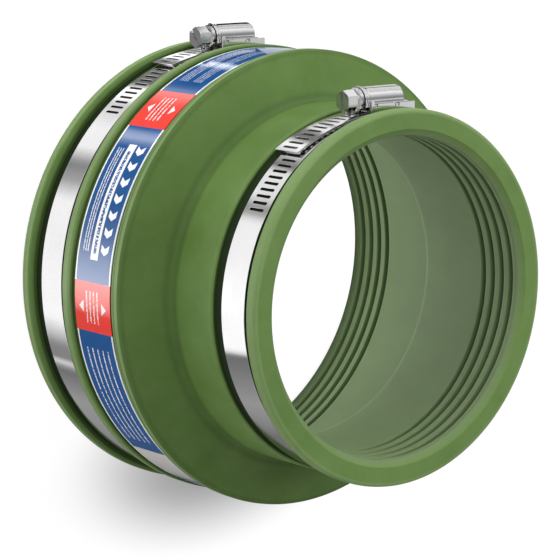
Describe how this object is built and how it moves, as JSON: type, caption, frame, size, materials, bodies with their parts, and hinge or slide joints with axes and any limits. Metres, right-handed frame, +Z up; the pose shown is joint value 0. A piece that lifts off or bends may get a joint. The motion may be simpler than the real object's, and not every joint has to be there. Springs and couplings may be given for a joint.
{
  "type": "pipe adapter coupling",
  "caption": "Stepped green rubber coupling that joins two pipes of different bore, with a worm-drive steel band clamp round each end.",
  "frame": {"origin": "centre of the outer box's underside; the pipe axis is 3.85 mm from it in -Y because the clamp housings stand out on the +Y side", "axes": "+Z up the pipe axis from the large end to the small end, +Y towards the clamp housings, -X towards the screw heads"},
  "size_m": [0.1758, 0.1836, 0.1198],
  "materials": {
    "green_rubber": "satin moulded green rubber",
    "printed_label": "gloss wrap label in blue, red and white",
    "band_steel": "bright rolled stainless strip",
    "screw_steel": "bright stainless pressing and screw"
  },
  "bodies": {
    "coupling": {"rubber_sleeve": "green_rubber", "label": "printed_label", "large_band": "band_steel", "large_saddle": "band_steel", "large_worm_housing": "screw_steel", "small_band": "band_steel", "small_saddle": "band_steel", "small_worm_housing": "screw_steel"},
    "large_screw": {"large_worm_screw": "screw_steel"},
    "small_screw": {"small_worm_screw": "screw_steel"}
  },
  "joints": [
    {"name": "large_screw_turn", "type": "hinge", "parent": "coupling", "child": "large_screw", "pos_m": [0, 0.08655, 0.0171], "axis": [1, 0, 0], "continuous": true},
    {"name": "small_screw_turn", "type": "hinge", "parent": "coupling", "child": "small_screw", "pos_m": [0, 0.06885, 0.1047], "axis": [1, 0, 0], "continuous": true}
  ]
}
